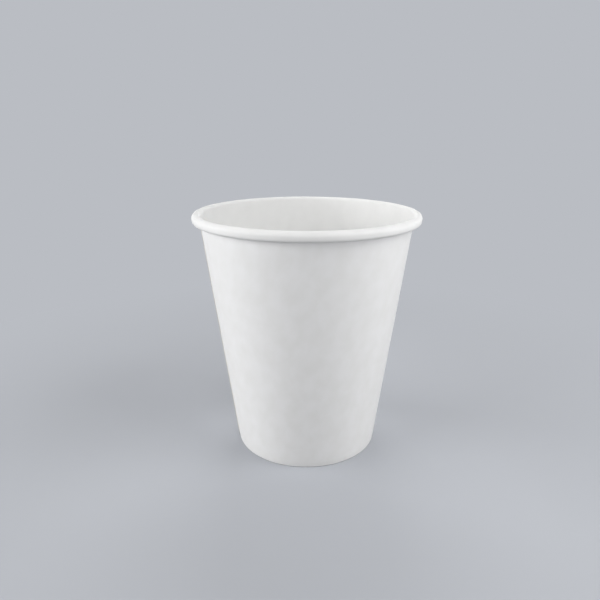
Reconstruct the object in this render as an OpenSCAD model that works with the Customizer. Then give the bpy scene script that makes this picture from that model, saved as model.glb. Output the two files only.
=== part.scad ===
// Single-wall paper cup for hot drinks, 90 mm across its rolled rim.
// The side wall is one fan-shaped blank of coated board. It is rolled into a cone and lapped at the
// side, its top edge is curled outwards into the rim, and its bottom edge is folded in and up.
// The base is a disc with a turned-down skirt, which is held in the fold.
// Each section lies in the plane of radius and height, and is swept round the vertical axis.

/* [Cup] */
// Overall height, from the foot to the top of the rim
cup_h = 97.7; // [60:0.1:140]
// Outer diameter across the rolled rim
rim_d = 90; // [76:0.5:110]
// Outer diameter across the fold at the foot
foot_d = 58.8; // [46:0.1:66]
// Thickness of the side wall's board
board_t = 0.4; // [0.25:0.05:0.45]

/* [Rolled rim] */
// Width of the roll, square to the wall
curl_w = 3.4; // [3:0.1:5]
// Straight run between the roll's upper and lower half turns
curl_run = 0.7; // [0.2:0.1:1.5]
// Open space between the turns of the roll
curl_gap = 0.1; // [0.05:0.01:0.3]
// Angle that the board runs on for, inside the roll's first turn
curl_tuck = 100; // [20:5:170]

/* [Side seam] */
// Width of the lap at half height, where the board lies double
lap_w = 7.5; // [5:0.5:12]
// Width over which the outer edge climbs on to the inner one
climb_w = 2.5; // [1.5:0.1:4]
// Angle of the blank's inner edge round the cup, anticlockwise from +X
seam_angle = 175; // [-180:5:180]

/* [Base and foot] */
// Thickness of the base's board
base_t = 0.35; // [0.2:0.05:0.5]
// Height of the base's underside above the foot
base_recess = 7.5; // [5:0.1:12]
// Outer radius of the bend from the base into its skirt
base_bend = 0.8; // [0.6:0.1:1.5]
// Thickness of the coating that bonds the skirt on each face
bond_t = 0.02; // [0.01:0.01:0.05]
// Space between the skirt's lower edge and the fold
skirt_gap = 0.4; // [0.1:0.1:1.5]
// Space between the hem's upper edge and the base's bend
hem_gap = 0.3; // [0.1:0.1:1.5]
// Width of the flat that the fold stands on
foot_flat = 0.5; // [0.3:0.1:0.8]

/* [Hidden] */
$fn = 120;

// How far a cutting shape reaches past what it cuts
over = 1;

// Angles of a square corner and of half a turn
square_turn = 90;
half_turn = 180;

// The slot between the wall and the hem holds the skirt and its two films of coating
slot_w = base_t + 2 * bond_t;
fold_r = slot_w / 2 + board_t;

// Centre of the roll's first half turn
curl_r = curl_w / 2;
curl_x = rim_d / 2 - curl_r;
curl_z = cup_h - curl_r;

// Centre of the fold at the foot
fold_x = foot_d / 2 - fold_r;
fold_z = sqrt(pow(fold_r, 2) - pow(foot_flat / 2, 2));

// The wall's inner face runs straight from the fold's inside to the roll's outside
span = norm([curl_x - fold_x, curl_z - fold_z]);
cross_r = curl_r + slot_w / 2;
lean = atan2(curl_x - fold_x, curl_z - fold_z) - asin(cross_r / span);
wall_len = sqrt(pow(span, 2) - pow(cross_r, 2));

// Radius of the wall's inner face at a height
function wall_r(z) = fold_x + (z - fold_z) * tan(lean) + slot_w / 2 / cos(lean);

// Centre of the base's bend, and its distance along the wall from the fold
bend_z = base_recess + base_t - base_bend;
bend_x = wall_r(bend_z) - (bond_t + base_bend) / cos(lean);
bend_len = (bend_z - fold_z + (slot_w / 2 - bond_t - base_bend) * sin(lean)) / cos(lean);

// The blank's edges lie along the slope of the cone, so the lap is a sector.
// Its angles are kept to a hundredth of a degree.
mid_r = wall_r(cup_h / 2);
function sector(w) = round(100 * w / mid_r * half_turn / PI) / 100;
lap_angle = sector(lap_w);
climb_angle = sector(1.6 * climb_w);

// The climb on to the lap ends below the roll. Inside the cup, the space that it leaves starts
// above the base and closes a little sooner.
climb_top = wall_len - curl_run - curl_r;
climb_foot = (base_recess + base_t - fold_z) / cos(lean);
climb_close = climb_top - climb_w;
climb_sag = pow(climb_w, 2) / (2 * mid_r);
climb_drop = 2 * (board_t + climb_sag);

// Part of a ring, t thick inside the radius r, between two angles less than 180 degrees apart
module ring_part(r, t, from, to) {
  reach = 2 * r;
  mid = (from + to) / 2;
  intersection() {
    difference() {
      circle(r);
      circle(r - t);
    }
    polygon([
      [0, 0],
      reach * [cos(from), sin(from)],
      reach * 2 * [cos(mid), sin(mid)],
      reach * [cos(to), sin(to)]
    ]);
  }
}

// Half of a ring, t thick inside the radius r, on the upper side
module half_ring(r, t) {
  intersection() {
    difference() {
      circle(r);
      circle(r - t);
    }
    translate([-r - over, 0]) square([2 * (r + over), r + over]);
  }
}

// Section of the rolled rim in board t thick, about the centre of its first half turn.
// The second half turn is smaller by half of what one turn takes up, so it ends beside the wall.
// In the lap the board is twice as thick, and the space between its turns is half as wide.
module curl_section(t, tuck) {
  turn_w = t + curl_gap * board_t / t;
  half_ring(curl_r, t);
  translate([curl_r - t, -curl_run]) square([t, curl_run]);
  translate([turn_w / 2, -curl_run]) mirror([0, 1]) half_ring(curl_r - turn_w / 2, t);
  translate([turn_w - curl_r, -curl_run]) square([t, curl_run]);
  if (tuck > 0) ring_part(curl_r - turn_w, t, half_turn - tuck, half_turn);
}

// Whole section of the blank in board t thick, pressed flat under the foot. It is drawn with the
// wall upright, about the centre of the fold, and then leant out.
module blank_section(t, tuck) {
  intersection() {
    translate([fold_x, fold_z]) rotate(-lean) {
      translate([-slot_w / 2 - t, 0]) square([t, bend_len - hem_gap]);
      mirror([0, 1]) half_ring(slot_w / 2 + t, t);
      translate([slot_w / 2, 0]) square([t, wall_len]);
      translate([slot_w / 2 + curl_r, wall_len]) curl_section(t, tuck);
    }
    square([rim_d, cup_h + over]);
  }
}

// Section of the base's disc, its bend and its skirt
module base_section() {
  skirt_h = bend_len - skirt_gap;
  translate([0, base_recess]) square([bend_x, base_t]);
  translate([bend_x, bend_z]) rotate(-lean) {
    ring_part(base_bend, base_t, 0, square_turn + lean);
    translate([base_bend - base_t, -skirt_h]) square([base_t, skirt_h]);
  }
}

// Prism on an outline beside the lap, along the wall between two lengths from the fold.
// The outline's x is the depth from the middle of the fold's slot, and its y runs into the lap.
module beside_lap(outline, low, high) {
  translate([fold_x, 0, fold_z]) rotate([0, lean, 0]) translate([0, 0, low])
    linear_extrude(high - low) polygon(outline);
}

// The blank's outer edge where it climbs on to the inner one, and on into the lap
module climb() {
  top_u = slot_w / 2 + 2 * board_t;
  rise = climb_drop / 2 / climb_w;
  difference() {
    rotate_extrude(angle = climb_angle + lap_angle / 2, start = -climb_angle)
      translate([fold_x, fold_z]) rotate(-lean)
        translate([slot_w / 2, 0]) square([2 * board_t, climb_top]);
    beside_lap([
      [top_u + rise * over, over],
      [top_u + climb_drop, over],
      [top_u + climb_drop, -2 * climb_w],
      [top_u - climb_drop, -2 * climb_w]
    ], -over, climb_top + over);
  }
}

// Side wall, rolled from one blank: rim, lapped seam, folded foot and hem. Beside the blank's
// inner edge the inside of the wall is left open, where the outer edge climbs off it.
module side_wall() {
  edge_u = slot_w / 2 + board_t;
  color("white") rotate(seam_angle) difference() {
    union() {
      rotate_extrude(angle = lap_angle) blank_section(2 * board_t, 0);
      rotate_extrude(angle = 360 - lap_angle, start = lap_angle)
        blank_section(board_t, curl_tuck);
      climb();
    }
    beside_lap([
      [edge_u, 0],
      [edge_u - climb_drop, 0],
      [edge_u - climb_drop, -2 * climb_w]
    ], climb_foot, climb_close);
  }
}

// Base: a disc with its edge turned down into a skirt
module base() {
  color("whitesmoke") rotate_extrude() base_section();
}

side_wall();
base();
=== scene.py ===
import bpy
import math
from mathutils import Matrix, Vector


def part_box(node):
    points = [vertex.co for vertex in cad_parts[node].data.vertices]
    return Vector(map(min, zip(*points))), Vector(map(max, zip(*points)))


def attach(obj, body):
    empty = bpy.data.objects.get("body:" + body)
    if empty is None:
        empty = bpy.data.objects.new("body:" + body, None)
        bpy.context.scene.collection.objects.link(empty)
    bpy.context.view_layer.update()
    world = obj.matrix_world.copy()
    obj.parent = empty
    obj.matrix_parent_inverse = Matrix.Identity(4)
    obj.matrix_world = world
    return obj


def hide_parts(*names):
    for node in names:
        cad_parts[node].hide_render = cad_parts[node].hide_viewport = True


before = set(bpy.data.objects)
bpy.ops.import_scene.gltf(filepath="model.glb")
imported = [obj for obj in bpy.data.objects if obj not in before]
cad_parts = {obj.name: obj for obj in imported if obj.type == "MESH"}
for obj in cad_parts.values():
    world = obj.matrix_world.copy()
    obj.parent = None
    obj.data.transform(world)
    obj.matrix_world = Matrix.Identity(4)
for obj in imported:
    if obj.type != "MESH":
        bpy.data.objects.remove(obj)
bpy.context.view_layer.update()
mm = 0.001

# The cup's overall sizes come from the frame, and the board's own sizes are in millimetres
wallLow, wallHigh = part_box("side_wall")
cupHeight = wallHigh.z - wallLow.z
rimRadius = (wallHigh.y - wallLow.y) / 2
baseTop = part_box("base")[1].z
smoothBelow = 35  # degrees between faces that still shade as one curve


def srgb(code):
    channels = [int(code[i:i + 2], 16) / 255 for i in (1, 3, 5)]
    return [c / 12.92 if c <= 0.04045 else ((c + 0.055) / 1.055) ** 2.4 for c in channels] + [1]


def addNode(tree, kind, inputs=None, **settings):
    # each input is a value, or another node's output to link
    made = tree.nodes.new(kind)
    for key, value in settings.items():
        setattr(made, key, value)
    for key, source in (inputs or {}).items():
        if hasattr(source, "links"):
            tree.links.new(source, made.inputs[key])
        else:
            made.inputs[key].default_value = source
    return made


def newMaterial(name):
    made = bpy.data.materials.new(name)
    made.use_nodes = True
    made.node_tree.nodes.clear()
    return made, made.node_tree


def deselect():
    if bpy.context.object and bpy.context.object.mode != "OBJECT":
        bpy.ops.object.mode_set(mode="OBJECT")
    bpy.ops.object.select_all(action="DESELECT")


def selectPoints(piece, numbers):
    bpy.ops.object.mode_set(mode="EDIT")
    bpy.ops.mesh.select_mode(type="VERT")
    bpy.ops.mesh.select_all(action="DESELECT")
    bpy.ops.object.mode_set(mode="OBJECT")
    for number in numbers:
        piece.data.vertices[number].select = True
    bpy.ops.object.mode_set(mode="EDIT")


def startPoint(name, x, z):
    # a section is drawn from one point on, in the plane of x and z
    deselect()
    bpy.ops.mesh.primitive_plane_add(size=1 * mm)
    piece = bpy.context.object
    piece.name = name
    bpy.ops.object.mode_set(mode="EDIT")
    bpy.ops.mesh.select_mode(type="VERT")
    bpy.ops.mesh.select_all(action="SELECT")
    bpy.ops.mesh.merge(type="CENTER")
    bpy.ops.transform.translate(value=(x, 0, z))
    return piece


def drawLine(x, z, cuts=1):
    for _ in range(cuts):
        bpy.ops.mesh.extrude_region_move(
            TRANSFORM_OT_translate={"value": (x / cuts, 0, z / cuts)})
    return cuts


def drawArc(x, z, degrees, steps):
    bpy.ops.mesh.spin(steps=steps, angle=math.radians(degrees), center=(x, 0, z), axis=(0, 1, 0))
    return steps


def turnSection(degrees, steps, close=False):
    # spin goes clockwise seen from above, so the angle is turned round
    bpy.ops.mesh.spin(steps=steps, angle=-math.radians(degrees), center=(0, 0, 0), axis=(0, 0, 1),
                      use_auto_merge=close)


def applyModifier(piece, kind, **settings):
    modifier = piece.modifiers.new(kind.title(), kind)
    for key, value in settings.items():
        setattr(modifier, key, value)
    bpy.context.view_layer.objects.active = piece
    bpy.ops.object.modifier_apply(modifier=modifier.name)


print("the board's faces")


noiseLow, noiseHigh = 0.3, 0.7  # a noise texture seldom leaves this range


def flatBlank(tree, x, y):
    # the map is in metres, so x and y are the size of one repeat along each way of the blank
    spot = addNode(tree, "ShaderNodeUVMap", uv_map="flat blank")
    return addNode(tree, "ShaderNodeMapping", {
        "Vector": spot.outputs["UV"],
        "Scale": (1 / x, 1 / y, 1),
    }).outputs["Vector"]


def cloud(tree, x, y, detail=3, rough=0.5):
    return addNode(tree, "ShaderNodeTexNoise", {
        "Vector": flatBlank(tree, x, y),
        "Scale": 1,
        "Detail": detail,
        "Roughness": rough,
    }, noise_dimensions="2D").outputs[0]


def spread(tree, value, low, high):
    return addNode(tree, "ShaderNodeMapRange", {
        "Value": value,
        "From Min": noiseLow,
        "From Max": noiseHigh,
        "To Min": low,
        "To Max": high,
    }).outputs["Result"]


def shades(tree, value, dark, light):
    ramp = addNode(tree, "ShaderNodeValToRGB", {"Fac": value})
    low, high = ramp.color_ramp.elements
    low.position, low.color = noiseLow, srgb(dark)
    high.position, high.color = noiseHigh, srgb(light)
    return ramp.outputs["Color"]


def relief(tree, height, depth, strength, under=None):
    inputs = {"Height": height, "Distance": depth, "Strength": strength}
    if under:
        inputs["Normal"] = under
    return addNode(tree, "ShaderNodeBump", inputs).outputs["Normal"]


def finishMaterial(made, tree, shader):
    addNode(tree, "ShaderNodeOutputMaterial", {"Surface": shader.outputs["BSDF"]})
    return made


def calenderedBoard():
    # bare outside: an even matt white, with the faint clouding and fine nap of pressed fibre
    made, tree = newMaterial("calendered cup board")
    clouding = cloud(tree, 5 * mm, 7 * mm, detail=4)
    fibre = cloud(tree, 0.22 * mm, 1.4 * mm, detail=4, rough=0.6)
    cockle = cloud(tree, 7 * mm, 45 * mm, detail=2)
    nap = relief(tree, fibre, 0.012 * mm, 0.5, relief(tree, cockle, 0.02 * mm, 0.5))
    return finishMaterial(made, tree, addNode(tree, "ShaderNodeBsdfPrincipled", {
        "Base Color": shades(tree, clouding, "#f0f0ef", "#f4f4f4"),
        "Roughness": spread(tree, fibre, 0.6, 0.7),
        "Normal": nap,
        "IOR": 1.45,
        "Sheen Weight": 0.06,
        "Sheen Roughness": 0.5,
    }))


def filmLinedBoard():
    # inside, and outside of the roll: a thin melted film smooths the fibre and shines a little
    made, tree = newMaterial("film lined cup board")
    clouding = cloud(tree, 6 * mm, 8 * mm, detail=3)
    flow = cloud(tree, 1.2 * mm, 3 * mm, detail=3)
    fibre = cloud(tree, 0.3 * mm, 1.8 * mm, detail=3, rough=0.5)
    film = relief(tree, fibre, 0.006 * mm, 0.4, relief(tree, flow, 0.02 * mm, 0.4))
    return finishMaterial(made, tree, addNode(tree, "ShaderNodeBsdfPrincipled", {
        "Base Color": shades(tree, clouding, "#f2f2f1", "#f5f5f4"),
        "Roughness": spread(tree, flow, 0.58, 0.66),
        "Normal": film,
        "IOR": 1.45,
    }))


def cutBoardEdge():
    # die-cut edge: open fibre in layers, rougher and a little darker than the faces
    made, tree = newMaterial("die-cut board edge")
    layers = addNode(tree, "ShaderNodeTexNoise", {
        "Vector": addNode(tree, "ShaderNodeTexCoord").outputs["Object"],
        "Scale": 1 / (0.15 * mm),
        "Detail": 3,
        "Roughness": 0.6,
    }).outputs[0]
    return finishMaterial(made, tree, addNode(tree, "ShaderNodeBsdfPrincipled", {
        "Base Color": shades(tree, layers, "#dedbd3", "#edebe6"),
        "Roughness": 0.85,
        "Normal": relief(tree, layers, 0.03 * mm, 0.6),
        "IOR": 1.4,
    }))


boardFaces = (filmLinedBoard(), calenderedBoard(), cutBoardEdge())


def giveThickness(piece, board):
    # the drawn sheet is the coated face: Solidify adds the bare face and the cut edge to it
    for face in boardFaces:
        piece.data.materials.append(face)
    applyModifier(piece, "SOLIDIFY", thickness=board, offset=-1, use_even_offset=True,
                  use_quality_normals=True, material_offset=1, material_offset_rim=2)


print("the rolled side wall")
wall = {
    "board": 0.4 * mm,
    "foot radius": 29.4 * mm,  # outside of the fold
    "foot flat": 0.5 * mm,  # width that the fold stands on
    "slot": 0.39 * mm,  # between the wall and the hem, where the base's skirt sits
    "hem": 6.22 * mm,  # straight height of the hem above the fold
    "curl radius": 1.7 * mm,
    "curl run": 0.7 * mm,  # straight stretch between the roll's half turns
    "curl gap": 0.1 * mm,
    "curl tuck": 100,  # degrees that the board runs on inside the first turn
    "seam": 175,  # degrees from +X, where the blank's inner edge lies
    "lap": 12.15,  # degrees of double board
    "climb": 4.05,  # degrees over which the outer edge climbs on to the inner one
    "glue": 0.01 * mm,
    "press height": 3 * mm,  # how far up the fold is pressed up at the lap
    "press fade": 4,  # degrees past the lap over which that ends
    "knurl": {"low": 1.0 * mm, "high": 5.4 * mm, "depth": 0.1 * mm},
    "steps": {"hem": 8, "fold": 12, "wall": 24, "over": 16, "under": 14, "tuck": 7},
    "turn steps": 300,
    "lap steps": 10,
}


def leanOfWall():
    # the coated face runs straight from the fold's inside to the roll's outside
    foldOut = wall["slot"] / 2 + wall["board"]
    foldX = wall["foot radius"] - foldOut
    foldZ = math.sqrt(foldOut ** 2 - (wall["foot flat"] / 2) ** 2)
    across = rimRadius - wall["curl radius"] - foldX
    up = cupHeight - wall["curl radius"] - foldZ
    offset = wall["curl radius"] + wall["slot"] / 2
    span = math.hypot(across, up)
    lean = math.atan2(across, up) - math.asin(offset / span)
    return foldX, foldZ, lean, math.sqrt(span ** 2 - offset ** 2)


foldX, foldZ, lean, wallLength = leanOfWall()


def drawBlankSection():
    # the line of the coated face, with the wall upright and the fold's centre at the origin
    half = wall["slot"] / 2
    radius = wall["curl radius"]
    turn = wall["board"] + wall["curl gap"]
    middle = half + radius
    steps = wall["steps"]
    lower = wallLength - wall["curl run"]
    piece = startPoint("rolled_side_wall", -half, wall["hem"])
    # each entry is the row of points at which that stretch ends
    rows = {"hem": drawLine(0, -wall["hem"], cuts=steps["hem"])}
    rows["fold"] = rows["hem"] + drawArc(0, 0, 180, steps["fold"])
    rows["wall"] = rows["fold"] + drawLine(0, wallLength, cuts=steps["wall"])
    rows["over"] = rows["wall"] + drawArc(middle, wallLength, -180, steps["over"])
    rows["down"] = rows["over"] + drawLine(0, -wall["curl run"])
    rows["under"] = rows["down"] + drawArc(middle + turn / 2, lower, -180, steps["under"])
    rows["leg"] = rows["under"] + drawLine(0, wall["curl run"])
    rows["tuck"] = rows["leg"] + drawArc(middle, wallLength, -wall["curl tuck"], steps["tuck"])
    bpy.ops.mesh.select_all(action="SELECT")
    bpy.ops.transform.rotate(value=-lean, orient_axis="Y", center_override=(0, 0, 0))
    bpy.ops.transform.translate(value=(foldX, 0, foldZ))
    bpy.ops.transform.rotate(value=-math.radians(wall["seam"]), orient_axis="Z",
                             center_override=(0, 0, 0))
    return piece, rows


rolledWall, rows = drawBlankSection()
perColumn = rows["tuck"] + 1
turnSection(360, wall["turn steps"])
turnSection(wall["lap"], wall["lap steps"])
bpy.ops.object.mode_set(mode="OBJECT")
columns = len(rolledWall.data.vertices) // perColumn


def columnAngle(column):
    # degrees from the blank's inner edge, past 360 in the lap's outer layer
    if column <= wall["turn steps"]:
        return 360 * column / wall["turn steps"]
    return 360 + wall["lap"] * (column - wall["turn steps"]) / wall["lap steps"]


def layFlat(piece):
    # the map is the fan-shaped blank as it lay flat, in metres
    flat = piece.data.uv_layers.new(name="flat blank")
    toApex = (foldX + wall["slot"] / 2) / math.sin(lean)
    length = []
    spots = [piece.data.vertices[i].co for i in range(perColumn)]
    for row, spot in enumerate(spots):
        length.append(0 if row == 0 else length[-1] + (spot - spots[row - 1]).length)
    foldEnd = length[rows["fold"]]
    for loop in piece.data.loops:
        column, row = divmod(loop.vertex_index, perColumn)
        # the blank's middle lies across the cup from its seam
        fan = math.radians(columnAngle(column) - 180) * math.sin(lean)
        reach = toApex + length[row] - foldEnd
        flat.data[loop.index].uv = (reach * math.sin(fan), reach * math.cos(fan))


layFlat(rolledWall)


def doubled(column):
    return column <= wall["lap steps"] or column >= wall["turn steps"]


def tightenLap(piece):
    # where the board lies double, the second half turn is smaller, to clear the wall
    loose = wall["curl radius"] - (wall["board"] + wall["curl gap"]) / 2
    tight = wall["curl radius"] - wall["board"] - wall["curl gap"] / 4
    for column in range(columns):
        if doubled(column):
            first = column * perColumn
            hinge = piece.data.vertices[first + rows["down"]].co.copy()
            selectPoints(piece, range(first + rows["down"] + 1, first + rows["leg"] + 1))
            bpy.ops.transform.resize(value=(tight / loose,) * 3, center_override=hinge)
            bpy.ops.object.mode_set(mode="OBJECT")


tightenLap(rolledWall)


def climbed(column):
    # how far the outer layer has climbed on to the inner one, from 0 to 1
    return min(max(1 - (360 - columnAngle(column)) / wall["climb"], 0), 1)


def liftOuterLayer(piece):
    group = piece.vertex_groups.new(name="outer layer")
    for column in range(columns):
        if climbed(column) > 0:
            points = range(column * perColumn, (column + 1) * perColumn)
            group.add(list(points), climbed(column), "REPLACE")
    applyModifier(piece, "DISPLACE", vertex_group="outer layer", direction="NORMAL", mid_level=0,
                  strength=-(wall["board"] + wall["glue"]))


bpy.ops.object.mode_set(mode="EDIT")
bpy.ops.mesh.select_all(action="SELECT")
bpy.ops.mesh.normals_make_consistent(inside=False)
bpy.ops.object.mode_set(mode="OBJECT")
liftOuterLayer(rolledWall)


def pressFoldUp(piece):
    # the lap's two layers share the height of one, so their fold is pressed up off the table
    group = piece.vertex_groups.new(name="pressed fold")
    for point in piece.data.vertices:
        column = point.index // perColumn
        pastLap = columnAngle(column) - wall["lap"]
        fading = max(1 - pastLap / wall["press fade"], 0)
        around = 1 if doubled(column) else max(climbed(column), fading)
        upwards = min(max(1 - point.co.z / wall["press height"], 0), 1)
        if around * upwards > 0:
            group.add([point.index], around * upwards, "REPLACE")
    applyModifier(piece, "DISPLACE", vertex_group="pressed fold", direction="Z", mid_level=0,
                  strength=wall["board"] + wall["glue"])


pressFoldUp(rolledWall)


def dropHiddenTuck(piece):
    # inside the roll, the lap has no room for the tucked edge
    selectPoints(piece, [column * perColumn + row for column in range(columns) if doubled(column)
                         for row in range(rows["leg"] + 1, perColumn)])
    bpy.ops.mesh.delete(type="VERT")
    bpy.ops.object.mode_set(mode="OBJECT")


dropHiddenTuck(rolledWall)
giveThickness(rolledWall, wall["board"])


def pressFoot(piece):
    selectPoints(piece, [point.index for point in piece.data.vertices if point.co.z < 0])
    bpy.ops.transform.resize(value=(1, 1, 0), center_override=(0, 0, 0))
    bpy.ops.object.mode_set(mode="OBJECT")


pressFoot(rolledWall)


def knurlHem(piece):
    # a toothed wheel presses grooves into the hem, which bonds it to the base's skirt
    skin = wall["slot"] / 2 + wall["board"] / 2
    step = 360 / wall["turn steps"]

    def groove(point):
        x, y, z = point.co
        onHem = math.hypot(x, y) < foldX + (z - foldZ) * math.tan(lean) - skin / math.cos(lean)
        across = math.degrees(math.atan2(y, x)) - wall["seam"]
        inBand = wall["knurl"]["low"] < z < wall["knurl"]["high"]
        return onHem and inBand and round(across / step) % 2 == 0

    selectPoints(piece, [point.index for point in piece.data.vertices if groove(point)])
    bpy.ops.transform.shrink_fatten(value=-wall["knurl"]["depth"])
    bpy.ops.object.mode_set(mode="OBJECT")


knurlHem(rolledWall)


print("the pressed base")
base = {
    "board": 0.35 * mm,
    "bend": 0.8 * mm,  # outer radius of the bend into the skirt
    "film": 0.02 * mm,  # between the skirt and the wall
    "skirt gap": 0.4 * mm,  # from the skirt's edge to the fold
    "bow": 0.3 * mm,  # height of the disc's middle over its edge
    "rings": 12,
    "bend steps": 8,
    "skirt steps": 3,
    "turn steps": 180,
}


def drawBase():
    # the line of the coated face, from the middle of the disc to the skirt's edge
    bendZ = baseTop - base["bend"]
    wallRadius = foldX + (bendZ - foldZ) * math.tan(lean) + wall["slot"] / 2 / math.cos(lean)
    bendX = wallRadius - (base["film"] + base["bend"]) / math.cos(lean)
    rise = bendZ - foldZ + (wall["slot"] / 2 - base["film"] - base["bend"]) * math.sin(lean)
    skirt = rise / math.cos(lean) - base["skirt gap"]
    piece = startPoint("pressed_base", 0, baseTop + base["bow"])
    rings = base["rings"]
    bow = [base["bow"] * (1 - (ring / rings) ** 2) ** 2 for ring in range(rings + 1)]
    for ring in range(rings):
        drawLine(bendX / rings, bow[ring + 1] - bow[ring])
    drawArc(bendX, bendZ, -90 - math.degrees(lean), base["bend steps"])
    drawLine(-skirt * math.sin(lean), -skirt * math.cos(lean), cuts=base["skirt steps"])
    bpy.ops.mesh.select_all(action="SELECT")
    turnSection(360, base["turn steps"], close=True)
    bpy.ops.mesh.select_all(action="SELECT")
    bpy.ops.mesh.remove_doubles(threshold=0.001 * mm)
    bpy.ops.mesh.normals_make_consistent(inside=False)
    bpy.ops.object.mode_set(mode="OBJECT")
    return piece


pressedBase = drawBase()


def layDiscFlat(piece):
    # the skirt's height is laid out past the disc's edge
    flat = piece.data.uv_layers.new(name="flat blank")
    for loop in piece.data.loops:
        x, y, z = piece.data.vertices[loop.vertex_index].co
        radius = max(math.hypot(x, y), mm)
        reach = 1 + max(baseTop - z, 0) / radius
        flat.data[loop.index].uv = (x * reach, y * reach)


layDiscFlat(pressedBase)
giveThickness(pressedBase, base["board"])


for piece, cadNode, slot in ((rolledWall, "side_wall", "wall_board"),
                             (pressedBase, "base", "base_board")):
    deselect()
    piece.select_set(True)
    bpy.context.view_layer.objects.active = piece
    bpy.ops.object.shade_smooth_by_angle(angle=math.radians(smoothBelow))
    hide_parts(cadNode)
    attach(piece, "root")


print("the studio")
studio = {
    "floor": "#c0c3c9",
    "bounce": "#55575e",  # what the floor throws back is as from this duller colour
    "backdrop": "#babdc3",
    "shaded to": 0.06,  # distance from the cup's axis up to which the floor shows its own shading
    "plain from": 0.25,  # and from which it shows the backdrop's colour
    "gap": 0.02 * mm,  # keeps the floor off the flat of the foot
    "width": 60,
}


def seenDirectly(tree):
    # 1 for what the camera sees, itself or in a shine, and 0 for light thrown on to the cup
    ray = addNode(tree, "ShaderNodeLightPath").outputs
    shine = addNode(tree, "ShaderNodeMath", {
        0: ray["Is Glossy Ray"],
        1: ray["Is Transmission Ray"],
    }, operation="ADD")
    return addNode(tree, "ShaderNodeMath", {
        0: ray["Is Camera Ray"],
        1: shine.outputs[0],
    }, operation="ADD", use_clamp=True).outputs[0]


def studioPaint(tree, color, grain):
    return addNode(tree, "ShaderNodeBsdfPrincipled", {
        "Base Color": srgb(color),
        "Roughness": 0.9,
        "Specular IOR Level": 0.2,
        "Normal": grain,
    }).outputs["BSDF"]


def paintedFloor():
    # matt paint, evenly pale: past the cup's own shadow it shows its plain colour, so that the
    # lamps' falloff doesn't show, and the floor has no visible end
    made, tree = newMaterial("matt studio paint")
    made.cycles.emission_sampling = "NONE"
    spot = addNode(tree, "ShaderNodeTexCoord").outputs["Object"]
    grain = addNode(tree, "ShaderNodeTexNoise", {"Vector": spot, "Scale": 60, "Detail": 2})
    grain = relief(tree, grain.outputs[0], 0.2 * mm, 0.1)
    plain = addNode(tree, "ShaderNodeEmission", {"Color": srgb(studio["backdrop"]), "Strength": 1})
    away = addNode(tree, "ShaderNodeVectorMath", {0: spot}, operation="LENGTH")
    far = addNode(tree, "ShaderNodeMapRange", {
        "Value": away.outputs["Value"],
        "From Min": studio["shaded to"],
        "From Max": studio["plain from"],
    }, interpolation_type="SMOOTHSTEP")
    pale = addNode(tree, "ShaderNodeMixShader", {
        "Fac": far.outputs["Result"],
        1: studioPaint(tree, studio["floor"], grain),
        2: plain.outputs["Emission"],
    })
    mix = addNode(tree, "ShaderNodeMixShader", {
        "Fac": seenDirectly(tree),
        1: studioPaint(tree, studio["bounce"], grain),
        2: pale.outputs["Shader"],
    })
    addNode(tree, "ShaderNodeOutputMaterial", {"Surface": mix.outputs["Shader"]})
    return made


def layFloor():
    deselect()
    bpy.ops.mesh.primitive_plane_add(size=studio["width"], location=(0, 0, -studio["gap"]))
    floor = bpy.context.object
    floor.name = "studio_floor"
    floor.data.materials.append(paintedFloor())


def setBackdrop():
    # the lamps alone light the cup: the room's colour is only seen
    room = bpy.data.worlds.new("plain backdrop")
    room.use_nodes = True
    tree = room.node_tree
    tree.nodes.clear()
    mix = addNode(tree, "ShaderNodeMixShader", {
        "Fac": seenDirectly(tree),
        1: addNode(tree, "ShaderNodeBackground", {"Strength": 0}).outputs[0],
        2: addNode(tree, "ShaderNodeBackground", {"Color": srgb(studio["backdrop"])}).outputs[0],
    })
    addNode(tree, "ShaderNodeOutputWorld", {"Surface": mix.outputs["Shader"]})
    bpy.context.scene.world = room


layFloor()
setBackdrop()

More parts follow.
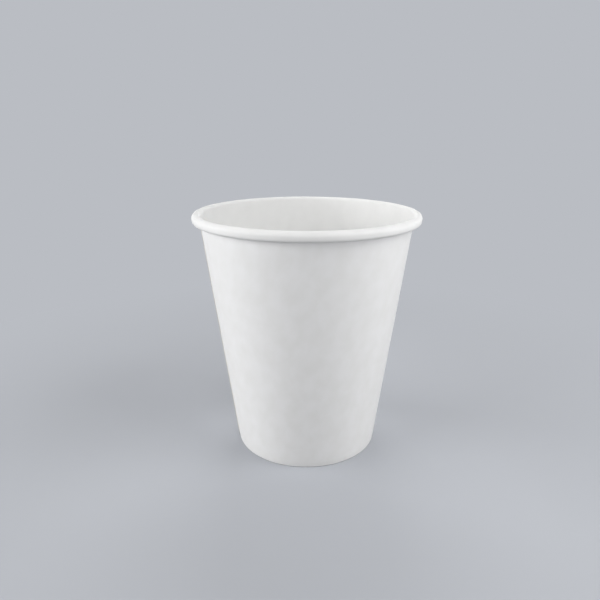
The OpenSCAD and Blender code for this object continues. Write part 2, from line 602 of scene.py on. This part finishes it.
# Places and sizes in metres, power in watts: the large left softbox is the key light
lamps = {
    "front softbox": {"place": (0.15, -0.8, 0.45), "size": (0.5, 0.5), "power": 1.6},
    "front low softbox": {"place": (0.05, -0.45, 0.06), "size": (0.3, 0.1), "power": 0.435},
    "left softbox": {"place": (-0.8, 0, 0.15), "size": (0.5, 0.5), "power": 5.5},
    "left front softbox": {"place": (-0.63, -0.36, 0.38), "size": (0.35, 0.35), "power": 1.5},
    "right top softbox": {"place": (0.3, -0.15, 0.4), "size": (0.25, 0.25), "power": 0.74},
    "right softbox": {"place": (0.4, -0.03, 0.2), "size": (0.2, 0.2), "power": 0.3},
    "right low strip": {"place": (0.6, 0, 0.05), "size": (0.5, 0.09), "power": 1.03},
    "back softbox": {"place": (0, 0.25, 0.4), "size": (0.2, 0.2), "power": 0.5},
    "back low softbox": {"place": (0.1, 0.8, 0.1), "size": (0.5, 0.5), "power": 1.7},
    "overhead softbox": {"place": (0, -0.05, 0.55), "size": (0.25, 0.25), "power": 0.2},
}


def hangLamp(name, lamp):
    deselect()
    bpy.ops.object.light_add(type="AREA", location=lamp["place"])
    light = bpy.context.object
    light.name = name
    light.data.shape = "RECTANGLE"
    light.data.size, light.data.size_y = lamp["size"]
    light.data.energy = lamp["power"]
    light.visible_camera = False
    toCup = Vector((0, 0, cupHeight / 2)) - light.location
    light.rotation_euler = toCup.to_track_quat("-Z", "Y").to_euler()


for name, lamp in lamps.items():
    hangLamp(name, lamp)


print("the camera")
view = {
    "place": (0, -222.73 * mm, 131.57 * mm),
    "tilt": 17.67,  # degrees below level
    "roll": 0.14,  # degrees
    "lens": 33.76,
    "shift": -0.01113,
}


def setCamera():
    deselect()
    bpy.ops.object.camera_add(location=view["place"])
    camera = bpy.context.object
    turn = Matrix.Rotation(math.radians(90 - view["tilt"]), 4, "X")
    roll = Matrix.Rotation(math.radians(view["roll"]), 4, "Z")
    camera.rotation_euler = (turn @ roll).to_euler()
    camera.data.lens = view["lens"]
    camera.data.sensor_width = 36
    camera.data.shift_x = view["shift"]
    camera.data.clip_start = 10 * mm
    bpy.context.scene.camera = camera


setCamera()
bpy.context.scene.view_settings.view_transform = "Standard"
